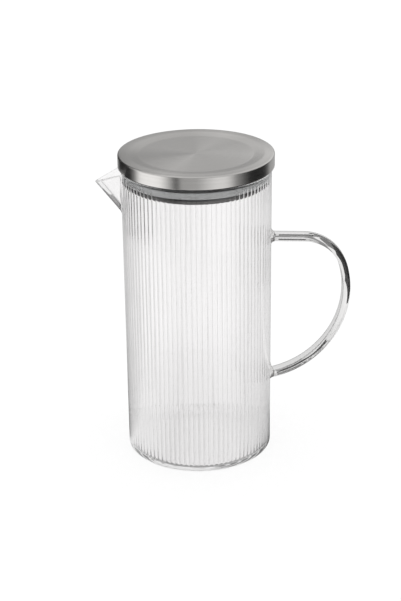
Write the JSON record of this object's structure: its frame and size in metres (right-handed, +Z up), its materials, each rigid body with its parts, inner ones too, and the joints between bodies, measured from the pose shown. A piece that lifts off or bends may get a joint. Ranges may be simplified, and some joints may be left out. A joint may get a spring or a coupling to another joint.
{
  "type": "glass pitcher with lid",
  "caption": "Tall clear glass pitcher with fine upright ribs, a pulled spout, a strap handle and a lift-off brushed steel lid sealed by a silicone ring.",
  "frame": {"origin": "axis of the glass cylinder, at the plane it stands on", "axes": "+Z up along the cylinder, +X towards the handle, -X towards the spout"},
  "size_m": [0.1799, 0.108, 0.2214],
  "materials": {
    "clear_glass": "clear, polished",
    "handle_glass": "clear, polished",
    "brushed_steel": "spun and brushed",
    "adhesive": "matte",
    "plug_plastic": "fine matte",
    "base_steel": "satin",
    "silicone": "translucent satin"
  },
  "bodies": {
    "jug": {"glass_body": "clear_glass", "handle": "handle_glass", "handle_upper_weld": "handle_glass", "handle_lower_weld": "handle_glass"},
    "seal": {"seal_ring": "silicone"},
    "lid": {"lid_cap": "brushed_steel", "bond_disc": "adhesive", "lid_insert": "plug_plastic", "plug_core": "plug_plastic", "plug_base": "base_steel"}
  },
  "joints": [
    {"name": "lid_lift", "type": "slide", "parent": "jug", "child": "seal", "axis": [0, 0, 1], "range_m": [0, 0.05]},
    {"name": "lid_turn", "type": "hinge", "parent": "seal", "child": "lid", "pos_m": [0, 0, 0.2057], "axis": [0, 0, 1], "continuous": true}
  ]
}
